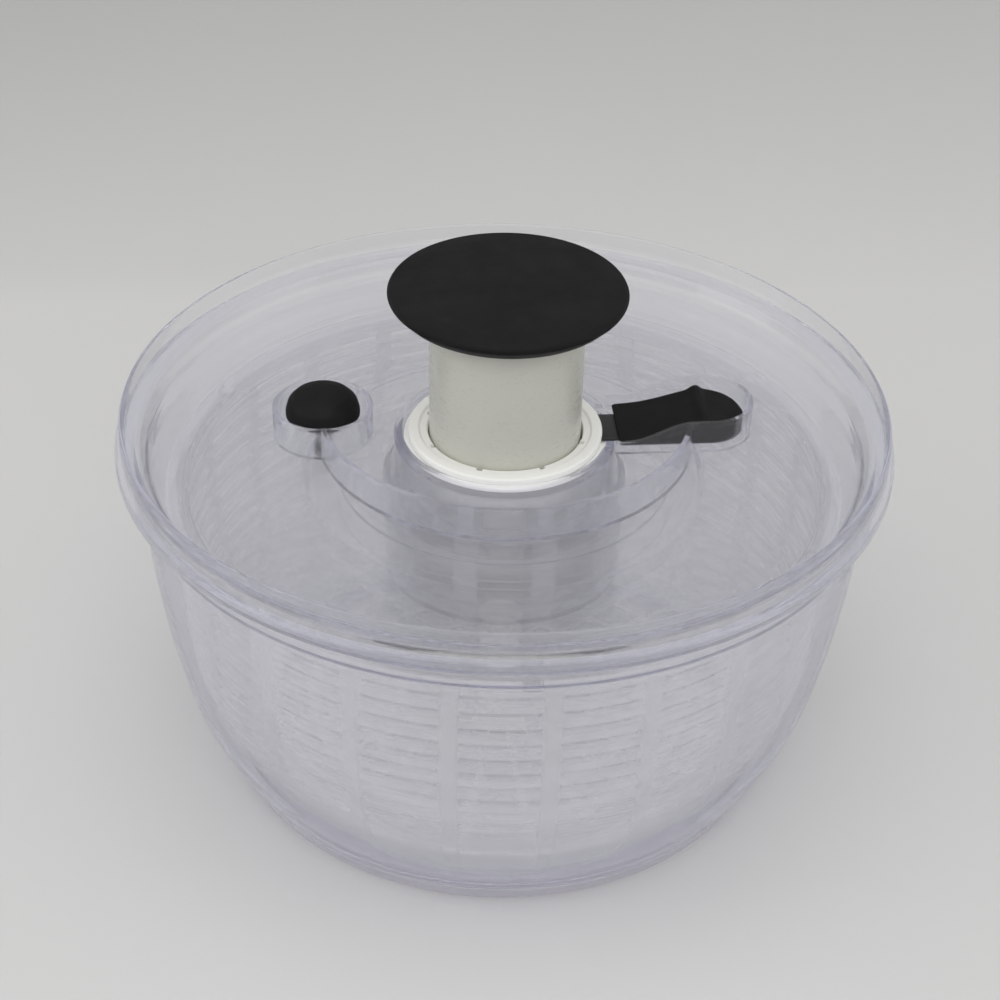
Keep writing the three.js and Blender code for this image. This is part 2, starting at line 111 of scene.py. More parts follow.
def rounded(profile, radius=0.0, closed=True, seg=4):
    """Rounds the corners of a polyline of [r, z] or [r, z, corner radius]."""
    out, n = [], len(profile)
    for i, p in enumerate(profile):
        rad = p[2] if len(p) > 2 else radius
        b = np.array(p[:2], float)
        if rad <= 0 or (not closed and i in (0, n - 1)):
            out.append(b)
            continue
        a = np.array(profile[i - 1][:2], float)
        c = np.array(profile[(i + 1) % n][:2], float)
        u, v = a - b, c - b
        lu, lv = np.linalg.norm(u), np.linalg.norm(v)
        u, v = u / lu, v / lv
        ang = math.acos(max(-1.0, min(1.0, float(u @ v))))
        if ang > math.pi - 0.02 or ang < 0.02:
            out.append(b)
            continue
        t = min(rad / math.tan(ang / 2), 0.46 * lu, 0.46 * lv)
        rr = t * math.tan(ang / 2)
        bis = (u + v) / np.linalg.norm(u + v)
        ctr = b + bis * (rr / math.sin(ang / 2))
        s, e = b + u * t - ctr, b + v * t - ctr
        a0, a1 = math.atan2(s[1], s[0]), math.atan2(e[1], e[0])
        da = (a1 - a0 + math.pi) % TAU - math.pi
        for k in range(seg + 1):
            q = a0 + da * k / seg
            out.append(ctr + rr * np.array([math.cos(q), math.sin(q)]))
    return out


def lathe_data(points, seg, on_axis, centre=(0, 0)):
    verts, faces, rings = [], [], []
    for r, z in points:
        if r < 1e-6:
            rings.append([len(verts)])
            verts.append((centre[0] * MM, centre[1] * MM, z * MM))
        else:
            rings.append(list(range(len(verts), len(verts) + seg)))
            for k in range(seg):
                a = TAU * k / seg
                verts.append(((centre[0] + r * math.cos(a)) * MM, (centre[1] + r * math.sin(a)) * MM, z * MM))
    pairs = list(zip(rings[:-1], rings[1:]))
    if not on_axis:
        pairs.append((rings[-1], rings[0]))
    for A, B in pairs:
        for k in range(seg):
            j = (k + 1) % seg
            if len(A) == 1 and len(B) == 1:
                continue
            if len(A) == 1:
                faces.append((A[0], B[k], B[j]))
            elif len(B) == 1:
                faces.append((A[k], B[0], A[j]))
            else:
                faces.append((A[k], B[k], B[j], A[j]))
    return verts, faces


def lathe(name, profile, seg=192, radius=0.3, centre=(0, 0), corner=4, sharp=38.0):
    on_axis = profile[0][0] == 0 and profile[-1][0] == 0
    pts = rounded(profile, radius, closed=not on_axis, seg=corner)
    v, f = lathe_data(pts, seg, on_axis, centre)
    return mesh_object(name, v, f, sharp)


def prism(name, outline, z0, z1, holes=(), bevel=0.0, bevel_seg=3):
    """A plan outline (list of x, y in mm) raised from z0 to z1, with optional holes."""
    import bmesh
    bm = bmesh.new()
    loops = [outline] + list(holes)
    edges = []
    for lp in loops:
        vs = [bm.verts.new((x * MM, y * MM, z0 * MM)) for x, y in lp]
        edges += [bm.edges.new((vs[i], vs[(i + 1) % len(vs)])) for i in range(len(vs))]
    bmesh.ops.triangle_fill(bm, edges=edges, use_beauty=True)
    low = list(bm.faces)
    ret = bmesh.ops.extrude_face_region(bm, geom=low)
    bmesh.ops.translate(bm, verts=[e for e in ret["geom"] if isinstance(e, bmesh.types.BMVert)], vec=(0, 0, (z1 - z0) * MM))
    bmesh.ops.recalc_face_normals(bm, faces=bm.faces)
    me = bpy.data.meshes.new(name)
    bm.to_mesh(me)
    bm.free()
    ob = bpy.data.objects.new(name, me)
    scene.collection.objects.link(ob)
    if bevel:
        bake(ob, [("BEVEL", dict(width=bevel * MM, segments=bevel_seg, limit_method="ANGLE", angle_limit=math.radians(50)))])
    tidy(ob)
    return ob


def bake(ob, mods):
    for kind, props in mods:
        m = ob.modifiers.new(kind.lower(), kind)
        for k, v in props.items():
            setattr(m, k, v)
    dg = bpy.context.evaluated_depsgraph_get()
    dg.update()
    me = bpy.data.meshes.new_from_object(ob.evaluated_get(dg))
    ob.modifiers.clear()
    old = ob.data
    ob.data = me
    bpy.data.meshes.remove(old)
    return ob


def combine(ob, tools, operation):
    for t in tools:
        bake(ob, [("BOOLEAN", dict(operation=operation, object=t, solver="EXACT"))])
        bpy.data.objects.remove(t, do_unlink=True)
    import bmesh
    bm = bmesh.new()
    bm.from_mesh(ob.data)
    bmesh.ops.remove_doubles(bm, verts=bm.verts, dist=2e-6)
    bmesh.ops.dissolve_degenerate(bm, edges=bm.edges, dist=1e-6)
    bm.to_mesh(ob.data)
    bm.free()
    tidy(ob)
    return ob


def split_at(ob, z):
    """Adds an edge loop round a mesh at a height, without opening it."""
    import bmesh
    bm = bmesh.new()
    bm.from_mesh(ob.data)
    bmesh.ops.bisect_plane(bm, geom=bm.verts[:] + bm.edges[:] + bm.faces[:], plane_co=(0, 0, z * MM), plane_no=(0, 0, 1), dist=1e-7)
    bm.to_mesh(ob.data)
    bm.free()
    tidy(ob)


def cuboid(name, x0, x1, y0, y1, z0, z1, turn=0.0):
    v = []
    c, s = math.cos(math.radians(turn)), math.sin(math.radians(turn))
    for z in (z0, z1):
        for x, y in ((x0, y0), (x1, y0), (x1, y1), (x0, y1)):
            v.append(((x * c - y * s) * MM, (x * s + y * c) * MM, z * MM))
    f = [(3, 2, 1, 0), (4, 5, 6, 7), (0, 1, 5, 4), (1, 2, 6, 5), (2, 3, 7, 6), (3, 0, 4, 7)]
    return mesh_object(name, v, f)


def merge(name, parts, sharp=38.0):
    """Joins separate closed shapes into one mesh object."""
    verts, faces = [], []
    for o in parts:
        base = len(verts)
        verts += [tuple(v.co) for v in o.data.vertices]
        faces += [tuple(base + i for i in p.vertices) for p in o.data.polygons]
        bpy.data.objects.remove(o, do_unlink=True)
    return mesh_object(name, verts, faces, sharp)


def paddle(x0, xend, half, steps=40):
    pts = [(x0, -half)]
    for i in range(steps + 1):
        t = -math.pi / 2 + math.pi * i / steps
        pts.append((xend + half * math.cos(t), half * math.sin(t)))
    pts.append((x0, half))
    return pts


def coil(name, radius, wire, z0, z1, turns, per_turn=40, sides=12):
    n = int(turns * per_turn)
    verts, faces = [], []
    for i in range(n + 1):
        t = i / n
        # closed end coils: the pitch eases off at both ends
        e = t - math.sin(TAU * t) / TAU * 0.75
        a = TAU * turns * t
        z = z0 + wire + (z1 - z0 - 2 * wire) * e
        c = Vector((radius * math.cos(a), radius * math.sin(a), z))
        tang = Vector((-math.sin(a), math.cos(a), (z1 - z0) / (TAU * turns * radius))).normalized()
        nrm = Vector((math.cos(a), math.sin(a), 0))
        bin_ = tang.cross(nrm).normalized()
        for k in range(sides):
            q = TAU * k / sides
            p = c + nrm * (wire * math.cos(q)) + bin_ * (wire * math.sin(q))
            verts.append((p.x * MM, p.y * MM, p.z * MM))
    for i in range(n):
        for k in range(sides):
            j = (k + 1) % sides
            faces.append((i * sides + k, i * sides + j, (i + 1) * sides + j, (i + 1) * sides + k))
    faces.append(tuple(range(sides)))
    faces.append(tuple(n * sides + k for k in reversed(range(sides))))
    return mesh_object(name, verts, faces)


# ------------------------------------------------------------------ materials
def new_material(name):
    m = bpy.data.materials.new(name)
    m.use_nodes = True
    nt = m.node_tree
    bsdf = nt.nodes["Principled BSDF"]
    return m, nt, bsdf


def coords(nt):
    return nt.nodes.new("ShaderNodeTexCoord").outputs["Object"]


def noise(nt, vec, scale, detail=4.0, rough=0.55):
    n = nt.nodes.new("ShaderNodeTexNoise")
    n.inputs["Scale"].default_value = scale
    n.inputs["Detail"].default_value = detail
    n.inputs["Roughness"].default_value = rough
    nt.links.new(vec, n.inputs["Vector"])
    return n.outputs["Fac"]


def ramp(nt, fac, stops):
    r = nt.nodes.new("ShaderNodeValToRGB")
    els = r.color_ramp.elements
    while len(els) < len(stops):
        els.new(0.5)
    for e, (p, c) in zip(els, stops):
        e.position = p
        e.color = (*c, 1) if len(c) == 3 else c
    nt.links.new(fac, r.inputs["Fac"])
    return r.outputs["Color"]


def grey(nt, fac, p0, v0, p1, v1):
    m = nt.nodes.new("ShaderNodeMapRange")
    m.inputs["From Min"].default_value = p0
    m.inputs["From Max"].default_value = p1
    m.inputs["To Min"].default_value = v0
    m.inputs["To Max"].default_value = v1
    nt.links.new(fac, m.inputs["Value"])
    return m.outputs["Result"]


def bump(nt, height, strength, distance, chain=None):
    b = nt.nodes.new("ShaderNodeBump")
    b.inputs["Strength"].default_value = strength
    b.inputs["Distance"].default_value = distance
    nt.links.new(height, b.inputs["Height"])
    if chain is not None:
        nt.links.new(chain, b.inputs["Normal"])
    return b.outputs["Normal"]


def stretch(nt, vec, sx, sy, sz):
    m = nt.nodes.new("ShaderNodeMapping")
    m.inputs["Scale"].default_value = (sx, sy, sz)
    nt.links.new(vec, m.inputs["Vector"])
    return m.outputs["Vector"]


def lamp_pass(nt, p, tint):
    """Thin clear plastic throws hardly any shadow: lamp light and bounced light go straight through it."""
    out = next(n for n in nt.nodes if n.type == "OUTPUT_MATERIAL")
    path = nt.nodes.new("ShaderNodeLightPath")
    either = nt.nodes.new("ShaderNodeMath")
    either.operation = "MAXIMUM"
    nt.links.new(path.outputs["Is Shadow Ray"], either.inputs[0])
    nt.links.new(path.outputs["Is Diffuse Ray"], either.inputs[1])
    tr = nt.nodes.new("ShaderNodeBsdfTransparent")
    tr.inputs["Color"].default_value = (*tint, 1)
    mix = nt.nodes.new("ShaderNodeMixShader")
    nt.links.new(either.outputs[0], mix.inputs[0])
    nt.links.new(p.outputs[0], mix.inputs[1])
    nt.links.new(tr.outputs[0], mix.inputs[2])
    nt.links.new(mix.outputs[0], out.inputs["Surface"])


def clear_plastic(name, tint=(0.992, 0.991, 0.994), rough=(0.012, 0.05), ior=1.13, wave=0.02, depth=12.5, veil=0.0):
    """Polished clear styrene: faint flow waviness, handling haze and fine scratches."""
    m, nt, p = new_material(name)
    c = coords(nt)
    flow = noise(nt, stretch(nt, c, 1, 1, 0.5), 34, 2.0, 0.5)
    haze = noise(nt, c, 22, 6.0, 0.65)
    nt.links.new(ramp(nt, haze, [(0.3, tuple(0.985 * t for t in tint)), (0.7, tint)]), p.inputs["Base Color"])
    fine = noise(nt, stretch(nt, c, 1, 14, 3), 420, 2.0, 0.5)
    mix = nt.nodes.new("ShaderNodeMath")
    mix.operation = "MULTIPLY"
    nt.links.new(haze, mix.inputs[0])
    nt.links.new(fine, mix.inputs[1])
    nt.links.new(grey(nt, mix.outputs[0], 0.15, rough[0], 0.45, rough[1]), p.inputs["Roughness"])
    nt.links.new(bump(nt, flow, wave, 0.002), p.inputs["Normal"])
    p.inputs["Transmission Weight"].default_value = 1.0 - veil
    p.inputs["IOR"].default_value = ior
    p.inputs["Coat Weight"].default_value = 0.5
    p.inputs["Coat Roughness"].default_value = 0.04
    p.inputs["Coat IOR"].default_value = 1.42
    p.inputs["Alpha"].default_value = 0.80
    lamp_pass(nt, p, (0.985, 0.985, 0.987))
    # the blue-violet cast of the bulk shows where the eye looks along the wall, at rims and corners
    bulk = nt.nodes.new("ShaderNodeVolumeAbsorption")
    bulk.inputs["Color"].default_value = (0.08, 0.12, 0.62, 1)
    bulk.inputs["Density"].default_value = depth
    nt.links.new(bulk.outputs[0], next(n for n in nt.nodes if n.type == "OUTPUT_MATERIAL").inputs["Volume"])
    return m


def frosted(name, tint=(0.75, 0.75, 0.757), trans=0.0, alpha=0.31):
    m, nt, p = new_material(name)
    c = coords(nt)
    cloud = noise(nt, c, 40, 5.0, 0.6)
    nt.links.new(ramp(nt, cloud, [(0.3, tuple(0.96 * t for t in tint)), (0.7, tint)]), p.inputs["Base Color"])
    nt.links.new(grey(nt, cloud, 0.3, 0.3, 0.7, 0.42), p.inputs["Roughness"])
    grain = noise(nt, c, 2600, 2.0, 0.5)
    nt.links.new(bump(nt, grain, 0.08, 0.0002), p.inputs["Normal"])
    p.inputs["Transmission Weight"].default_value = trans
    p.inputs["IOR"].default_value = 1.40
    p.inputs["Alpha"].default_value = alpha
    return m


def moulded(name, base, rough=(0.3, 0.42), vary=0.03, grain=900, grain_amt=0.05, spec=0.5, coat=0.0, sss=0.0, painted_glow=0.0):
    """Opaque moulded plastic: slight tone drift, fine spark-eroded grain, faint scuffs."""
    m, nt, p = new_material(name)
    c = coords(nt)
    drift = noise(nt, c, 28, 5.0, 0.6)
    lo = tuple(max(0.0, b * (1 - vary)) for b in base)
    hi = tuple(min(1.0, b * (1 + vary)) for b in base)
    nt.links.new(ramp(nt, drift, [(0.32, lo), (0.68, hi)]), p.inputs["Base Color"])
    scuff = noise(nt, stretch(nt, c, 3, 1, 9), 160, 4.0, 0.6)
    nt.links.new(grey(nt, scuff, 0.3, rough[0], 0.7, rough[1]), p.inputs["Roughness"])
    g = noise(nt, c, grain, 3.0, 0.5)
    nt.links.new(bump(nt, g, grain_amt, 0.0003), p.inputs["Normal"])
    p.inputs["Specular IOR Level"].default_value = spec
    p.inputs["Coat Weight"].default_value = coat
    if painted_glow:                    # painted glow: emission that lifts the plastic where it lies in shade, standing in for light scattered inside thin white plastic
        p.inputs["Emission Color"].default_value = (*base, 1)
        p.inputs["Emission Strength"].default_value = painted_glow
    if sss:
        p.inputs["Subsurface Weight"].default_value = sss
        p.inputs["Subsurface Scale"].default_value = 0.002
    return m


def soft_black(name):
    """Soft-touch elastomer: matt, finely pitted, with a faint dusty bloom and rubbed spots."""
    m, nt, p = new_material(name)
    c = coords(nt)
    bloom = noise(nt, c, 60, 6.0, 0.65)
    nt.links.new(ramp(nt, bloom, [(0.3, (0.0065, 0.0065, 0.0068)), (0.72, (0.0098, 0.0098, 0.0101))]), p.inputs["Base Color"])
    rub = noise(nt, c, 95, 3.0, 0.5)
    nt.links.new(grey(nt, rub, 0.3, 0.56, 0.7, 0.7), p.inputs["Roughness"])
    pits = noise(nt, c, 3200, 2.0, 0.6)
    dents = noise(nt, c, 260, 3.0, 0.5)
    first = bump(nt, dents, 0.05, 0.0005)
    nt.links.new(bump(nt, pits, 0.22, 0.00012, first), p.inputs["Normal"])
    p.inputs["Specular IOR Level"].default_value = 0.14
    return m


def metal(name, base, rough=(0.18, 0.32)):
    m, nt, p = new_material(name)
    c = coords(nt)
    streak = noise(nt, stretch(nt, c, 40, 40, 4), 90, 4.0, 0.6)
    nt.links.new(ramp(nt, streak, [(0.3, tuple(0.86 * b for b in base)), (0.7, base)]), p.inputs["Base Color"])
    nt.links.new(grey(nt, streak, 0.3, rough[0], 0.7, rough[1]), p.inputs["Roughness"])
    nt.links.new(bump(nt, streak, 0.06, 0.0002), p.inputs["Normal"])
    p.inputs["Metallic"].default_value = 1.0
    return m


def disc_plastic(name):
    """Clear styrene with two textured zones: the brake's rubbing track and the wall of the hub cup."""
    m = clear_plastic(name, rough=(0.03, 0.08), depth=5.0)
    nt = m.node_tree
    p = nt.nodes["Principled BSDF"]
    c = coords(nt)
    split = nt.nodes.new("ShaderNodeSeparateXYZ")
    nt.links.new(c, split.inputs[0])
    flat = nt.nodes.new("ShaderNodeCombineXYZ")
    nt.links.new(split.outputs["X"], flat.inputs["X"])
    nt.links.new(split.outputs["Y"], flat.inputs["Y"])
    length = nt.nodes.new("ShaderNodeVectorMath")
    length.operation = "LENGTH"
    nt.links.new(flat.outputs[0], length.inputs[0])
    r = length.outputs["Value"]

    def times(a, b):
        n = nt.nodes.new("ShaderNodeMath")
        n.operation = "MULTIPLY"
        for k, v in enumerate((a, b)):
            nt.links.new(v, n.inputs[k])
        return n.outputs[0]
    track = times(grey(nt, r, 0.0590, 0.0, 0.0596, 1.0), grey(nt, r, 0.0704, 1.0, 0.0710, 0.0))
    hub = times(grey(nt, r, 0.0440, 1.0, 0.0446, 0.0), grey(nt, split.outputs["Z"], 0.106, 1.0, 0.114, 0.0))
    zone = nt.nodes.new("ShaderNodeMath")
    zone.operation = "MAXIMUM"
    nt.links.new(track, zone.inputs[0])
    nt.links.new(hub, zone.inputs[1])
    old = p.inputs["Roughness"].links[0].from_socket
    mixer = nt.nodes.new("ShaderNodeMix")
    nt.links.new(zone.outputs[0], mixer.inputs["Factor"])
    nt.links.new(old, mixer.inputs["A"])
    mixer.inputs["B"].default_value = 0.26
    nt.links.new(mixer.outputs["Result"], p.inputs["Roughness"])
    milk = nt.nodes.new("ShaderNodeMath")
    milk.operation = "MULTIPLY_ADD"
    milk.inputs[1].default_value = -0.03
    milk.inputs[2].default_value = 1.0
    nt.links.new(zone.outputs[0], milk.inputs[0])
    nt.links.new(milk.outputs[0], p.inputs["Transmission Weight"])
    return m


M = {
    "clear": clear_plastic("clear_styrene", veil=0.025),
    "clear_bowl": clear_plastic("clear_bowl_styrene", veil=0.075),
    "clear_disc": disc_plastic("clear_disc_styrene"),
    "cage": frosted("smoky_cage", tint=(0.56, 0.555, 0.56), alpha=0.60),
    # painted light: the collar's emission brightens it where the knob above shades it
    "collar": moulded("collar_white", (0.86, 0.857, 0.825), rough=(0.34, 0.46), vary=0.012, painted_glow=0.07),
    "frosted": frosted("frosted_basket"),
    "grip": frosted("grip_ring_elastomer", tint=(0.78, 0.75, 0.84), trans=0.0, alpha=0.36),
    "white": moulded("white_moulded", (0.92, 0.915, 0.885), rough=(0.34, 0.46), vary=0.012),
    # painted shade: the tube is white plastic, given a darker base colour than the other white parts to paint in the
    # knob's shade on it
    "tube": moulded("tube_white_painted_shade", (0.575, 0.575, 0.51), rough=(0.26, 0.32), vary=0.008, grain_amt=0.01),
    "inner": moulded("inner_grey_white", (0.56, 0.555, 0.56), rough=(0.35, 0.48)),
    "black": soft_black("soft_black"),
    "black_hard": moulded("black_moulded", (0.02, 0.02, 0.021), rough=(0.4, 0.52), vary=0.15),
    "grey": moulded("grey_moulded", (0.33, 0.335, 0.345), rough=(0.4, 0.5)),
    "rubber": moulded("grey_rubber", (0.10, 0.10, 0.105), rough=(0.65, 0.8), grain=2200, grain_amt=0.15),
    "brass": metal("bearing_metal", (0.70, 0.53, 0.27), rough=(0.3, 0.45)),
    "steel": metal("spring_steel", (0.62, 0.62, 0.63)),
}


def done(ob, body, nodes, mat):
    ob.data.materials.clear()
    ob.data.materials.append(M[mat])
    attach(ob, body)
    if nodes:
        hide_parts(*nodes)
    return ob


R, R_LID = 138.2, 136.2
FLOOR_TOP, FLOOR_LOW, LIP = 132.0, 129.6, 144.0
BRAKE = (-64.94, 2.72)

# ------------------------------------------------------------------ bowl
def smooth_line(knots, steps=4):
    """A smooth curve through [r, z] knots, in short steps."""
    k = [np.array(p, float) for p in knots]
    k = [2 * k[0] - k[1]] + k + [2 * k[-1] - k[-2]]
    out = []
    for i in range(1, len(k) - 2):
        for j in range(steps):
            t = j / steps
            out.append(0.5 * (2 * k[i] + (k[i + 1] - k[i - 1]) * t + (2 * k[i - 1] - 5 * k[i] + 4 * k[i + 1] - k[i + 2]) * t ** 2
                              + (3 * k[i] - k[i - 1] - 3 * k[i + 1] + k[i + 2]) * t ** 3))
    out.append(k[-2])
    return [[float(p[0]), float(p[1])] for p in out]


def inset(line, by):
    """The inner points of an open [r, z] line, moved in by a wall thickness square to it."""
    out = []
    for i in range(1, len(line) - 1):
        (r0, z0), (r1, z1) = line[i - 1], line[i + 1]
        n = math.hypot(r1 - r0, z1 - z0)
        out.append([line[i][0] - by * (z1 - z0) / n, line[i][1] + by * (r1 - r0) / n])
    return out


BOWL_WALL = smooth_line([[105.4, 8.5], [109.4, 16], [113.7, 25], [117.6, 34], [120.3, 43], [122.7, 54], [125.0, 66], [127.0, 80], [128.9, 97], [130.4, 119.3]])
bowl = lathe("bowl_shell", [
    [0, 1.9], [96.4, 1.9, 1.0], [98.8, 2.9, 2.0], [102.3, 8.5, 0.3]] + [[p[0], p[1], 0] for p in BOWL_WALL[:-1]] + [
    [130.4, 119.3, 2.0], [131.9, 121.3, 1.0], [132.8, 130.4, 1.6], [137.2, 131.5, 0.8], [R, 132.4, 0.6], [R, 135.7, 0.9], [137.6, 136.4, 0.4], [131.2, 136.4, 0.5],
    [130.4, 135.4, 1.0], [129.7, 121.9, 2.0], [128.0, 119.3, 2.0]] + [[p[0], p[1], 0] for p in inset(BOWL_WALL, 2.4)[::-1][2:]] + [
    [102.3, 9.6, 4], [98.6, 6.4, 6], [93.6, 4.8, 6], [87.0, 4.4, 3],
    [10, 4.4, 3.0], [4.0, 7.5, 1.5], [4.0, 15.6, 0.6], [2.6, 16.8, 0.8], [0, 17.0],
], seg=256, corner=5)
done(bowl, "bowl_base", ["bowl"], "clear_bowl")
grip = lathe("foot_grip_ring", [
    [90, 0, 0.4], [100.4, 0, 1.4], [102.2, 1.8, 1.4], [105.1, 8.2, 0.4], [102.7, 8.2, 0.3],
    [99.3, 2.6, 1.0], [96.6, 1.6, 0.6], [90, 1.6, 0.4],
], seg=256)
done(grip, "bowl_base", ["base_grip_ring"], "grip")

# ------------------------------------------------------------------ basket
BAYS, PHASE = 22, -86.5
BASKET_WALL = smooth_line([[92.0, 11.0], [96.4, 11.6], [100, 14.5], [104, 20], [110, 30.5], [114, 42], [116.6, 52], [118.3, 66], [118.9, 82], [119.3, 111.2]], 6)
SLOT_MIDS = [43.1, 49.1, 55.2, 61.3, 67.5, 73.7, 79.9, 86.3, 92.9, 99.8, 106.6]


def basket_mesh(name):
    # path from the hub out and up: (outer/lower r, z), (inner/upper r, z), kind of the band that follows
    rows = []

    def row(o, i, kind):
        rows.append((o, i, kind))

    row((9.2, 11.0), (9.2, 19.3), "solid")
    row((10.2, 11.0), (11.9, 19.3), "solid")
    row((12.0, 11.0), (12.9, 18.2), "solid")
    row((14.5, 11.0), (14.2, 12.9), "solid")
    floor = [(20, "solid"), (22, "slot"), (36, "solid"), (40, "slot"), (54, "solid"), (58, "slot"), (70, "solid"), (74, "slot"), (86, "solid")]
    for r, kind in floor:
        row((r, 11.0), (r, 12.9), kind)
    line = [p for p in BASKET_WALL if p[1] < 41.0]
    for o, i in zip(line[1:], inset(line + [[113.72, 41.1]], 1.85)):
        if o[1] > 11.02:
            row(tuple(o), tuple(i), "solid")
    zs, rs = [p[1] for p in BASKET_WALL], [p[0] for p in BASKET_WALL]

    def wall(z):
        ro = float(np.interp(z, zs, rs))
        return (ro, z), (ro - 1.85, z + 0.2)
    for mid in SLOT_MIDS:
        o, i = wall(mid - 1.6)
        row(o, i, "slot")
        o, i = wall(mid + 1.6)
        row(o, i, "solid")
    row((119.3, 111.0), (117.4, 111.6), "solid")
    row((120.0, 111.8), (117.5, 112.4), "solid")
    row((122.0, 112.3), (117.6, 113.2), "solid")
    row((122.35, 112.8), (117.75, 114.2), "solid")
    row((122.35, 114.6), (117.9, 115.0), "solid")
    row((122.0, 115.3), (118.3, 115.45), "solid")
    row((121.4, 115.55), (119.4, 115.58), None)
    cols = []                       # (angle, rib bump 0..1, zone that follows)
    bay = 360.0 / BAYS
    h = 1.15
    for b in range(BAYS):
        a = PHASE + b * bay
        cols += [(a - h - 0.35, 0.0, "rib"), (a - h, 1.0, "rib"), (a + h, 1.0, "rib"), (a + h + 0.35, 0.0, "slot")]
        n = 8
        span = bay - 2 * (h + 0.35)
        for k in range(1, n):
            cols.append((a + h + 0.35 + span * k / n, 0.0, "slot"))
    nc = len(cols)
    verts, idx = [], []
    for (ro, zo), (ri, zi), kind in rows:
        line = []
        rib_on = 15 < ro < 119.5
        for a, bumpy, zone in cols:
            t = math.radians(a)
            lift = min(1.0, max(0.0, (zo - 11.2) / 14.0))
            up_ = bumpy * 0.7 * lift if rib_on else 0.0
            dn = bumpy * 0.6 * (1 - lift) if rib_on else 0.0
            line.append((len(verts), len(verts) + 1))
            verts.append(((ro + up_) * math.cos(t) * MM, (ro + up_) * math.sin(t) * MM, (zo - dn) * MM))
            verts.append((ri * math.cos(t) * MM, ri * math.sin(t) * MM, zi * MM))
        idx.append(line)
    nr = len(rows)

    def solid(i, j):
        if i < 0 or i >= nr - 1:
            return False
        j %= nc
        return not (rows[i][2] == "slot" and cols[j][2] == "slot")
    faces = []
    for i in range(nr - 1):
        for j in range(nc):
            if not solid(i, j):
                continue
            k = (j + 1) % nc
            a, b, c, d = idx[i][j], idx[i][k], idx[i + 1][k], idx[i + 1][j]
            faces.append((a[0], b[0], c[0], d[0]))
            faces.append((d[1], c[1], b[1], a[1]))
            if not solid(i - 1, j):
                faces.append((a[1], b[1], b[0], a[0]))
            if not solid(i + 1, j):
                faces.append((d[0], c[0], c[1], d[1]))
            if not solid(i, j - 1):
                faces.append((a[0], d[0], d[1], a[1]))
            if not solid(i, j + 1):
                faces.append((b[1], c[1], c[0], b[0]))
    return mesh_object(name, verts, faces, 30)


basket = basket_mesh("slotted_basket")
combine(basket, [cuboid("n", 116, 124, -3.4, 3.4, 112.9, 117, 30 + 60 * k) for k in range(6)], "DIFFERENCE")
done(basket, "basket_body", ["basket"], "frosted")
bush = lathe("pivot_bushing", [
    [0, 17.3], [2.8, 17.1, 0.5], [4.4, 15.8, 0.5], [4.4, 8.2, 0.3], [8.6, 8.2, 0.5], [8.6, 19.2, 0.8], [7.0, 20.6, 1.0], [0, 20.6],
], seg=72)
done(bush, "basket_seat", ["pivot_bush"], "white")

# ------------------------------------------------------------------ lid
shell = lathe("lid_clear_shell", [
    [R_LID, 136.7, 0.6], [R_LID, 145.2, 1.5], [135.8, 146.4, 0.6], [135.2, 146.8, 0.5], [134.6, 146.4, 0.6], [134.2, 141.4, 0.8],
    [133.5, 140.4, 0.8], [131.0, 139.3, 0.9], [130.0, 138.2, 1.2], [127.8, 133.0, 1.0], [126.8, FLOOR_TOP, 1.2],
    [39.9, FLOOR_TOP, 0.4], [39.3, 134.0, 0.5], [36.8, 134.0, 0.5], [36.8, 104.3, 0.3], [39.0, 104.3, 0.5], [39.0, FLOOR_LOW, 0.6],
    [125.8, FLOOR_LOW, 1.0], [127.2, 130.6, 1.0], [129.3, 136.0, 0.8], [130.5, 136.7, 0.5],
], seg=256, corner=3)
cup = lathe("cup", [[16.1, 130.6, 0], [17.9, 130.6, 0], [17.9, LIP, 0.7], [16.1, LIP, 0.7]], seg=96, centre=BRAKE, corner=3)
bay_wall = prism("bay", paddle(37.9, 72.5, 16.5), 130.6, LIP, bevel=0.5)
bay_cut = prism("bay_cut", paddle(30.0, 72.5, 14.9), 129.0, LIP + 2)
combine(bay_wall, [bay_cut], "DIFFERENCE")


def sideways(name, pts, half):
    import bmesh
    bm = bmesh.new()
    vs = [bm.verts.new((x * MM, -half * MM, z * MM)) for x, z in pts]
    fc = bm.faces.new(vs)
    ret = bmesh.ops.extrude_face_region(bm, geom=[fc])
    bmesh.ops.translate(bm, verts=[e for e in ret["geom"] if isinstance(e, bmesh.types.BMVert)], vec=(0, 2 * half * MM, 0))
    bmesh.ops.recalc_face_normals(bm, faces=bm.faces)
    me = bpy.data.meshes.new(name)
    bm.to_mesh(me)
    bm.free()
    ob = bpy.data.objects.new(name, me)
    scene.collection.objects.link(ob)
    tidy(ob)
    return ob


slope_pts = [(34, 136.3)]
for k in range(0, 21):
    t = k / 20
    slope_pts.append((42 + 24 * t, 136.6 + (LIP + 0.05 - 136.6) * (3 * t * t - 2 * t * t * t)))
slope_pts += [(66.2, 152), (34, 152)]
combine(bay_wall, [sideways("slope", slope_pts, 20)], "DIFFERENCE")
outer, inner_arc = [], []
a0, a1, n = -168.0, -13.7, 96
for i in range(n + 1):
    t = math.radians(a0 + (a1 - a0) * i / n)
    outer.append((67.4 * math.cos(t), 67.4 * math.sin(t)))
    inner_arc.append((65.4 * math.cos(t), 65.4 * math.sin(t)))
rib = prism("rib", outer + inner_arc[::-1], 131.0, LIP + 0.3, bevel=0.45)
combine(shell, [cup, bay_wall, rib], "UNION")
hole = lathe("hole", [[0, 128], [2.9, 128], [2.9, 133], [0, 133]], seg=48, radius=0, centre=BRAKE)
combine(shell, [cuboid("way", 34, 42, -14.3, 14.3, 132.05, 134.5), hole], "DIFFERENCE")
done(shell, "lid", ["lid_shell"], "clear")

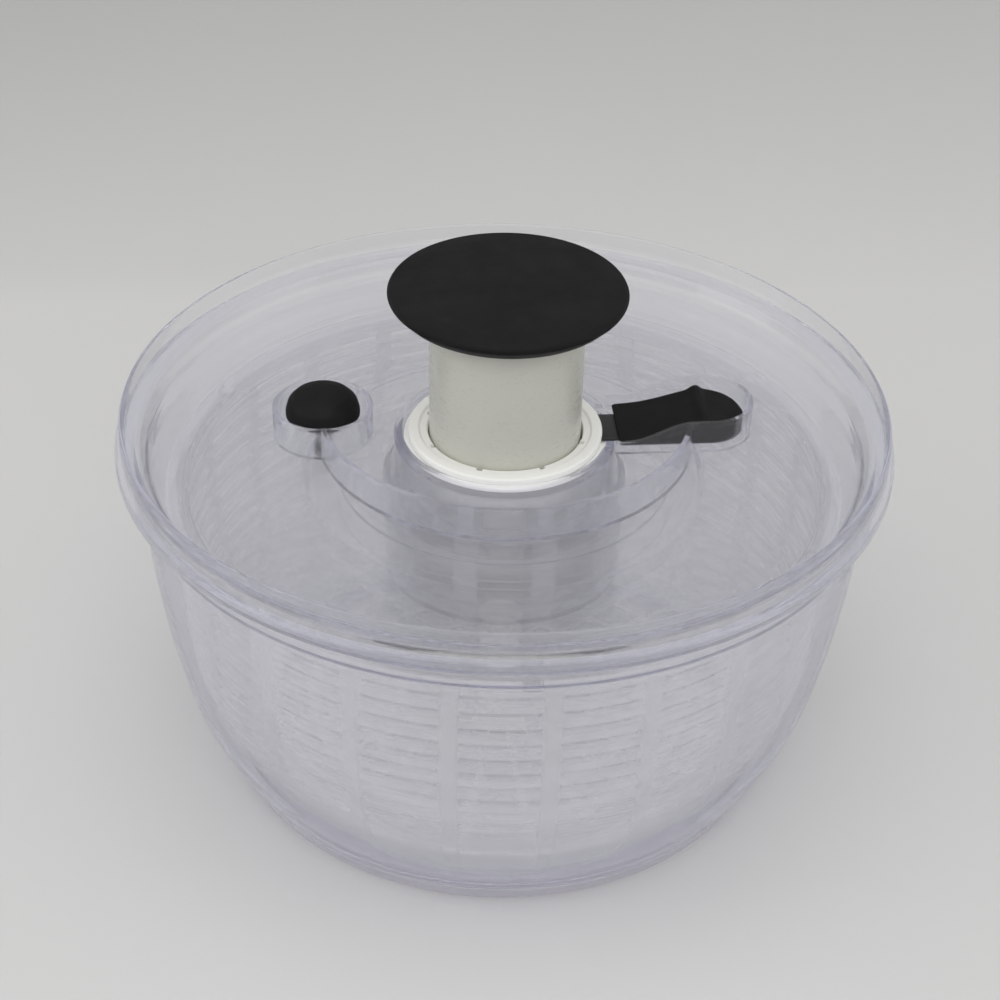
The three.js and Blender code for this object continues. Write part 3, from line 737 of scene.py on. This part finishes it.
collar = lathe("tube_collar", [
    [27.6, 132.1, 0.2], [34.9, 132.1, 0.3], [34.9, 134.6, 0.8], [31.2, 134.6, 0.3], [30.5, 133.9, 0.3], [28.2, 133.9, 0.4], [27.6, 133.3, 0.3],
], seg=192)
combine(collar, [cuboid("n", 25.2, 29.6, -1.1, 1.1, 131, 136, 22.5 + 45 * k) for k in range(8)] + [cuboid("s", 26, 37, -8.6, 8.6, 131, 133.75)], "DIFFERENCE")
done(collar, "lid", ["collar_ring"], "collar")

housing = lathe("pump_cage", [
    [7.3, 76.4, 0.2], [36.0, 76.4, 0.8], [36.0, 109.6, 0.3], [36.4, 109.9, 0.2], [36.4, 131.8, 0.4], [34.4, 131.8, 0.4], [34.4, 79.0, 0.8], [7.3, 79.0, 0.2],
], seg=160)
wins = []
for k in range(4):
    wins.append(cuboid("w", -40, 40, -11.2, 11.2, 114.7, 120.5, 45 * k - 3.5))
    wins.append(cuboid("w", -40, 40, -9.6, 9.6, 84, 108.5, 45 * k - 3.5))
combine(housing, wins, "DIFFERENCE")
split_at(housing, 130.5)
done(housing, "lid", ["pump_housing"], "white")
housing.data.materials.append(M["cage"])
for f in housing.data.polygons:
    f.material_index = 0 if f.center.z > 0.1304 else 1
done(lathe("tube_guide_bush", [[27.6, 121.2, 0.8], [34.1, 121.2, 0.3], [34.1, 131.7, 0.3], [27.6, 131.7, 0.6]], seg=160), "lid", ["guide_bush"], "white")
done(lathe("disc_bearing", [[36.8, 98.5, 0.3], [40.1, 98.5, 0.8], [40.1, 104.0, 0.4], [36.8, 104.0, 0.3]], seg=192), "lid", ["disc_bearing_ring"], "cage")
done(lathe("spindle_bush", [[4.1, 76.5, 0.2], [7.0, 76.5, 0.2], [7.0, 79.2, 0.3], [4.1, 79.2, 0.3]], seg=72), "lid", ["spindle_bearing"], "brass")
spring = coil("knob_return_spring", 9, 0.7, 133.5, 184.0, 6.5)
done(spring, "lid", ["return_spring"], "steel")
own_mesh(spring)

# ------------------------------------------------------------------ pump
cap = lathe("knob_soft_cap", [
    [0, 187.1], [37.5, 187.1, 1.0], [41.0, 187.5, 1.5], [41.9, 189.2, 1.4], [41.0, 191.1, 2.2], [34.0, 191.62, 12], [18, 191.76, 8], [0, 191.8],
], seg=256, corner=7)
done(cap, "pump", ["knob_cap"], "black")
core = lathe("knob_hard_core", [
    [3.0, 184.3, 0.3], [20.0, 184.3, 0.3], [20.0, 176.0, 0.5], [24.4, 176.0, 0.5], [24.4, 184.3, 0.6], [37.0, 184.3, 1.0], [38.4, 185.0, 0.6], [38.4, 186.8, 0.3], [3.0, 186.8, 0.3],
], seg=192)
done(core, "pump", ["knob_core"], "black_hard")
kscrew = lathe("knob_centre_screw", [[0, 178.0], [1.0, 178.0, 0.1], [1.6, 179.4, 0.2], [1.6, 183.6, 0.1], [2.6, 183.8, 0.2], [2.6, 186.2, 0.4], [0, 186.7]], seg=48)
done(kscrew, "pump", ["knob_screw"], "steel")
tube = lathe("pump_sleeve", [[24.8, 120.5, 0.4], [27.2, 120.5, 0.7], [27.2, 184.0, 0.4], [24.8, 184.0, 0.4]], seg=256)
combine(tube, [cuboid("latch", 24, 29, -5, 5, 172.3, 176.0)], "DIFFERENCE")
done(tube, "pump", ["pump_tube"], "tube")
nut = lathe("helix_nut", [[7.6, 124.0, 0.3], [24.5, 124.0, 0.5], [24.5, 127.6, 0.5], [7.6, 127.6, 0.3]], seg=120)
pins = []
for side in (0, 180):
    v, f = lathe_data(rounded([[0, 0], [1.0, 0, 0], [1.0, 3.4, 0], [0, 3.4]], 0.2, False), 32, True)
    c, s = math.cos(math.radians(side)), math.sin(math.radians(side))
    vv = [((5.6 * MM + z) * c - y * s, (5.6 * MM + z) * s + y * c, 125.8 * MM - x) for x, y, z in v]
    pins.append(mesh_object("pin", vv, f))
combine(nut, pins, "UNION")
done(nut, "pump", ["drive_nut"], "white")


# ------------------------------------------------------------------ spindle and clutch
def helix_bar(name):
    rout, rroot, width, z0, z1, lead, layers = 7.0, 4.8, 56.0, 80.2, 131.0, 40.0, 150
    section = []
    n = 120
    for k in range(n):
        a = 360.0 * k / n
        d = min(abs((a + 90) % 180 - 90), 90)        # distance to a groove centre, degrees
        t = max(0.0, min(1.0, (d - (width / 2 - 7)) / 9.0))
        s = 3 * t * t - 2 * t * t * t
        section.append((rroot + (rout - rroot) * s, a))
    verts, faces = [], []
    turn0 = -360.0 * (125.8 - z0) / lead
    for j in range(layers + 1):
        z = z0 + (z1 - z0) * j / layers
        shrink = 1.0 - 0.08 * max(0.0, 1 - (z1 - z) / 0.8) - 0.08 * max(0.0, 1 - (z - z0) / 0.8)
        for r, a in section:
            t = math.radians(a + turn0 + 360.0 * (z - z0) / lead)
            verts.append((r * shrink * math.cos(t) * MM, r * shrink * math.sin(t) * MM, z * MM))
    for j in range(layers):
        for k in range(n):
            q = (k + 1) % n
            faces.append((j * n + k, j * n + q, (j + 1) * n + q, (j + 1) * n + k))
    lo, hi = len(verts), len(verts) + 1
    verts += [(0, 0, z0 * MM), (0, 0, z1 * MM)]
    for k in range(n):
        q = (k + 1) % n
        faces.append((lo, q, k))
        faces.append((hi, layers * n + k, layers * n + q))
    return mesh_object(name, verts, faces, 45)


bar = helix_bar("helical_spindle")
journal = lathe("journal", [[0, 75.2], [1.8, 75.2, 0.2], [1.8, 66.8, 0.2], [3.8, 66.8, 0.4], [3.8, 80.8, 0.0], [0, 80.8]], seg=64)
combine(bar, [journal], "UNION")
done(bar, "spindle", ["drive_spindle"], "white")
done(lathe("spring_thrust_seat", [[0, 131.3], [11.0, 131.3, 0.5], [11.0, 133.2, 0.5], [7.6, 133.2, 0.3], [7.0, 135.6, 0.5], [0, 135.6]], seg=96), "spindle", ["spring_seat"], "white")
rotor = lathe("one_way_rotor", [[4.1, 66.8, 0.3], [10.0, 66.8, 0.4], [10.0, 75.6, 0.4], [4.1, 75.6, 0.3]], seg=96)
done(rotor, "spindle", ["clutch_rotor"], "grey")
rs = lathe("rotor_retaining_screw", [[0, 64.5], [2.6, 64.5, 0.2], [4.2, 65.2, 0.5], [4.4, 66.4, 0.2], [1.5, 66.4, 0.1], [1.5, 74.6, 0.4], [0, 74.6]], seg=48)
combine(rs, [cuboid("x", -2.2, 2.2, -0.4, 0.4, 64, 65.3), cuboid("y", -0.4, 0.4, -2.2, 2.2, 64, 65.3)], "DIFFERENCE")
done(rs, "spindle", ["rotor_screw"], "steel")
for k in (0, 1):
    pts = [(10.4, -2.4), (11.6, -2.6), (13.7, 2.2), (13.3, 3.0), (10.6, 1.4)]
    sg = 1 if k == 0 else -1
    pw = prism(f"ratchet_pawl_{k + 1}", [(sg * x, sg * y) for x, y in pts], 68.0, 74.6, bevel=0.25)
    done(pw, "spindle", [f"clutch_pawl_{k + 1}"], "steel")

# ------------------------------------------------------------------ drive disc and hub
disc = lathe("clear_drive_disc", [
    [20.0, 64.3, 0.3], [22.0, 64.3, 0.6], [22.0, 74.0, 0.8], [42.5, 74.0, 2.0], [42.5, 115.7, 1.5], [58.8, 115.7, 1.0], [60.2, 116.5, 0.8], [69.6, 116.5, 0.8], [72.0, 114.3, 0.8],
    [114.2, 114.3, 0.5], [114.2, 109.8, 0.4], [116.0, 109.8, 0.4], [116.0, 116.0, 0.4], [120.4, 116.0, 0.3], [121.0, 116.6, 0.4], [120.4, 117.9, 0.5],
    [117.0, 117.9, 0.6], [115.4, 116.5, 0.8], [73.0, 116.5, 0.6], [71.4, 118.5, 0.5], [59.2, 118.5, 0.5], [58.2, 117.6, 0.5], [40.5, 117.6, 0.6],
    [40.5, 106.6, 0.3], [39.5, 106.2, 0.3], [39.5, 104.4, 0.3], [40.5, 104.4, 0.3], [40.5, 76.0, 1.0], [20.0, 76.0, 0.4],
], seg=256, corner=3)
combine(disc, [cuboid("lug", 115.4, 120.4, -2.4, 2.4, 113.5, 117, 30 + 60 * k) for k in range(6)], "UNION")
holes = []
for k in range(3):
    t = math.radians(90 + 120 * k)
    holes.append(lathe("h", [[0, 73], [1.6, 73], [1.6, 77], [0, 77]], seg=32, radius=0, centre=(28.5 * math.cos(t), 28.5 * math.sin(t))))
combine(disc, holes, "DIFFERENCE")
done(disc, "drive", ["drive_disc"], "clear_disc")
teeth = []
for k in range(12):
    for r, f in ((14.4, 0.0), (14.4, 0.16), (15.3, 0.4), (16.1, 0.68), (16.6, 0.9)):
        t = TAU * (k + f) / 12
        teeth.append((r * math.cos(t), r * math.sin(t)))
ring = prism("ratchet_teeth_ring", [(19.6 * math.cos(TAU * k / 120), 19.6 * math.sin(TAU * k / 120)) for k in range(120)], 66.6, 75.4, holes=[teeth])
done(ring, "drive", ["ratchet_ring"], "white")
hub = lathe("hub_cover", [
    [0, 60.0], [20.5, 60.0, 2.0], [24.2, 63.0, 2.5], [24.2, 71.4, 0.8], [33.4, 71.4, 0.4], [34.0, 72.0, 0.4], [34.0, 73.7, 0.4], [22.4, 73.7, 0.3], [22.4, 64.0, 1.2], [20.0, 62.2, 1.2], [0, 62.2],
], seg=160)
holes = []
for k in range(3):
    t = math.radians(90 + 120 * k)
    holes.append(lathe("h", [[0, 70], [1.6, 70], [1.6, 75], [0, 75]], seg=32, radius=0, centre=(28.5 * math.cos(t), 28.5 * math.sin(t))))
combine(hub, holes, "DIFFERENCE")
done(hub, "drive", ["hub_cap"], "clear_disc")
for k in range(3):
    t = math.radians(90 + 120 * k)
    cx, cy = 28.5 * math.cos(t), 28.5 * math.sin(t)
    sc = lathe(f"cover_screw_{k + 1}", [[0, 68.8], [1.6, 68.85, 0.2], [2.8, 69.5, 0.5], [2.9, 71.1, 0.2], [1.3, 71.1, 0.1], [1.3, 75.2, 0.2], [0.8, 75.8, 0.1], [0, 75.8]], seg=40, centre=(cx, cy))
    combine(sc, [cuboid("x", cx - 1.5, cx + 1.5, cy - 0.3, cy + 0.3, 68, 69.6), cuboid("y", cx - 0.3, cx + 0.3, cy - 1.5, cy + 1.5, 68, 69.6)], "DIFFERENCE")
    done(sc, "drive", [f"hub_screw_{k + 1}"], "steel")

# ------------------------------------------------------------------ brake
button = lathe("brake_soft_button", [
    [0, 142.0], [8.5, 141.6, 1.5], [11.0, 141.0, 0.4], [11.2, 139.6, 0.2], [12.8, 139.6, 0.3], [13.2, 140.2, 0.3], [13.2, 142.0, 2.0], [12.3, 145.4, 3.0],
    [9.8, 148.0, 3.0], [5.7, 149.3, 4.0], [0, 149.7],
], seg=120, centre=BRAKE, corner=5)
done(button, "brake", ["brake_button"], "black")
stem = lathe("brake_plunger", [[0, 127.4], [2.4, 127.4, 0.3], [2.4, 139.2, 0.4], [7.4, 139.2, 0.3], [7.4, 140.6, 0.4], [0, 140.6]], seg=64, centre=BRAKE)
done(stem, "brake", ["brake_stem"], "grey")
pad = lathe("brake_shoe", [[0, 122.9], [3.2, 122.9, 0.4], [3.4, 123.2, 0.3], [3.4, 127.1, 0.5], [0, 127.1]], seg=64, centre=BRAKE)
done(pad, "brake", ["brake_pad"], "rubber")
bspring = coil("button_spring", 4.6, 0.35, 132.2, 139.0, 5, per_turn=32, sides=8)
bspring.data.transform(Matrix.Translation((BRAKE[0] * MM, BRAKE[1] * MM, 0)))
done(bspring, "lid", ["brake_spring"], "steel")
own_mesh(bspring)


# ------------------------------------------------------------------ lock lever
def lever_mesh(name):
    """A lofted paddle: its top rises from the neck to a finger ridge and rounds off at the tip."""
    xs = [40.0, 40.4, 41.0, 42, 44, 46, 48, 50, 52, 54, 56, 58, 60, 62, 64, 65.5, 66.5, 67.3, 68, 68.6, 69.2, 69.8, 70.4, 71, 71.6, 72.3, 73, 74, 75.5, 77, 78.5, 80, 81.3, 82.5, 83.5, 84.3, 85, 85.5, 85.8]
    prof_x = [40, 45, 50, 56, 62, 66.6, 68.2, 69.4, 70.9, 71.9, 73.2, 76, 80, 83.5, 85.9]
    prof_z = [134.9, 135.3, 136.1, 137.5, 139.2, 140.5, 141.6, 142.5, 142.5, 141.7, 140.9, 140.5, 140.1, 139.5, 138.4]
    base = 133.85
    verts, faces = [], []
    m = 28
    for x in xs:
        half = 13.4 if x < 72.5 else math.sqrt(max(0.0, 13.4 ** 2 - (x - 72.5) ** 2))
        if x < 41.0:
            half -= 0.6 * (41.0 - x)
        zt = float(np.interp(x, prof_x, prof_z))
        crown = 0.35
        edge = min(1.1, 0.45 * (zt - base))
        for k in range(m + 1):
            u = -1 + 2 * k / m
            y = half * math.sin(u * math.pi / 2) if half > 0 else 0
            q = abs(y) / half if half > 0 else 0
            drop = crown * q * q
            d = half - abs(y)
            if d < edge:
                drop += edge - math.sqrt(max(0.0, edge ** 2 - (edge - d) ** 2))
            verts.append((x * MM, y * MM, (zt - drop) * MM))
        verts.append((x * MM, half * MM, base * MM))
        verts.append((x * MM, -half * MM, base * MM))
    w = m + 3
    for i in range(len(xs) - 1):
        for k in range(w):
            q = (k + 1) % w
            faces.append((i * w + k, i * w + q, (i + 1) * w + q, (i + 1) * w + k))
    faces.append(tuple(range(w)))
    faces.append(tuple((len(xs) - 1) * w + k for k in reversed(range(w))))
    return mesh_object(name, verts, faces, 50)


lever = lever_mesh("lock_paddle")
done(lever, "lock", ["lock_lever"], "black")
tongue = prism("lock_tongue", [(32.5, -8.2), (66, -8.2), (66, 8.2), (32.5, 8.2)], 132.3, 133.4, bevel=0.25)
done(tongue, "lock", ["lock_slide"], "black_hard")

# ------------------------------------------------------------------ stage and light
def sweep():
    """Floor that curves up into a pale backdrop."""
    prof = [(-3.0, 0.0), (-1.0, 0.0), (0.0, 0.0), (0.36, 0.0)]
    rad, y0 = 0.30, 0.36
    for k in range(1, 25):
        t = math.radians(72) * k / 24
        prof.append((y0 + rad * math.sin(t), rad * (1 - math.cos(t))))
    yl, zl = prof[-1]
    t = math.radians(72)
    for d in (0.3, 0.8, 1.6, 2.6):
        prof.append((yl + d * math.cos(t), zl + d * math.sin(t)))
    xs = [-3.5, -1.5, -0.5, 0, 0.5, 1.5, 3.5]
    verts = [(x, y, z) for y, z in prof for x in xs]
    n = len(xs)
    faces = [(i * n + k, i * n + k + 1, (i + 1) * n + k + 1, (i + 1) * n + k) for i in range(len(prof) - 1) for k in range(n - 1)]
    me = bpy.data.meshes.new("sweep")
    me.from_pydata(verts, [], faces)
    me.update()
    me.polygons.foreach_set("use_smooth", [True] * len(me.polygons))
    ob = bpy.data.objects.new("sweep", me)
    scene.collection.objects.link(ob)
    me.transform(Matrix.Rotation(TWIST, 4, "Z"))
    return ob


floor = sweep()
m, nt, p = new_material("pale_paper")
c = coords(nt)
tone = noise(nt, c, 3.0, 4.0, 0.5)
paper = ramp(nt, tone, [(0.3, (0.615, 0.612, 0.606)), (0.7, (0.635, 0.632, 0.627))])
# painted shade: the paper is multiplied darker towards the back and up the backdrop, for the lamp light falling off
# there
split = nt.nodes.new("ShaderNodeSeparateXYZ")
nt.links.new(c, split.inputs[0])
painted_falloff_mask = grey(nt, split.outputs["Y"], 0.34, 0.0, 0.60, 1.0)
painted_falloff_colour = ramp(nt, painted_falloff_mask, [(0.0, (1.0, 1.0, 1.0)), (1.0, (0.655, 0.66, 0.652))])
shade = nt.nodes.new("ShaderNodeMix")
shade.data_type = "RGBA"
shade.blend_type = "MULTIPLY"
shade.inputs["Factor"].default_value = 1.0
nt.links.new(paper, shade.inputs["A"])
nt.links.new(painted_falloff_colour, shade.inputs["B"])
nt.links.new(shade.outputs["Result"], p.inputs["Base Color"])
p.inputs["Roughness"].default_value = 0.75
nt.links.new(bump(nt, noise(nt, c, 900, 3.0, 0.5), 0.05, 0.0004), p.inputs["Normal"])
floor.data.materials.append(m)

world = bpy.data.worlds.new("studio")
scene.world = world
world.use_nodes = True
wn = world.node_tree
bg = wn.nodes["Background"]
tc = wn.nodes.new("ShaderNodeTexCoord")
sep = wn.nodes.new("ShaderNodeSeparateXYZ")
wn.links.new(tc.outputs["Generated"], sep.inputs["Vector"])
wr = wn.nodes.new("ShaderNodeValToRGB")
wn.links.new(sep.outputs["Z"], wr.inputs["Fac"])
els = wr.color_ramp.elements
els[0].position = 0.0
els[0].color = (0.72, 0.72, 0.73, 1)
els[1].position = 0.75
els[1].color = (1.0, 1.0, 0.99, 1)
e = els.new(0.25)
e.color = (0.86, 0.86, 0.87, 1)
wn.links.new(wr.outputs["Color"], bg.inputs["Color"])
bg.inputs["Strength"].default_value = 0.74


def area(name, loc, target, size, power, colour=(1, 1, 1)):
    l = bpy.data.lights.new(name, "AREA")
    l.shape = "RECTANGLE"
    l.size, l.size_y = size
    l.energy = power
    l.color = colour
    o = bpy.data.objects.new(name, l)
    scene.collection.objects.link(o)
    d = Vector(target) - Vector(loc)
    o.matrix_world = spin @ (Matrix.Translation(loc) @ d.to_track_quat("-Z", "Y").to_matrix().to_4x4())
    return o


area("top_softbox", (0.0, 0.0, 1.5), (0, 0, 0), (1.3, 1.1), 4.0)
area("front_softbox", (0.0, -1.3, 1.25), (0, 0, 0.1), (1.4, 0.7), 6.6)
area("left_softbox", (-1.3, -0.2, 0.8), (0, 0, 0.1), (0.8, 0.9), 2.9)
area("right_softbox", (1.3, -0.2, 0.8), (0, 0, 0.1), (0.8, 0.9), 1.7)

scene.cycles.max_bounces = 24
scene.cycles.transmission_bounces = 24
scene.cycles.transparent_max_bounces = 32
scene.view_settings.view_transform = "Standard"
scene.view_settings.look = "None"
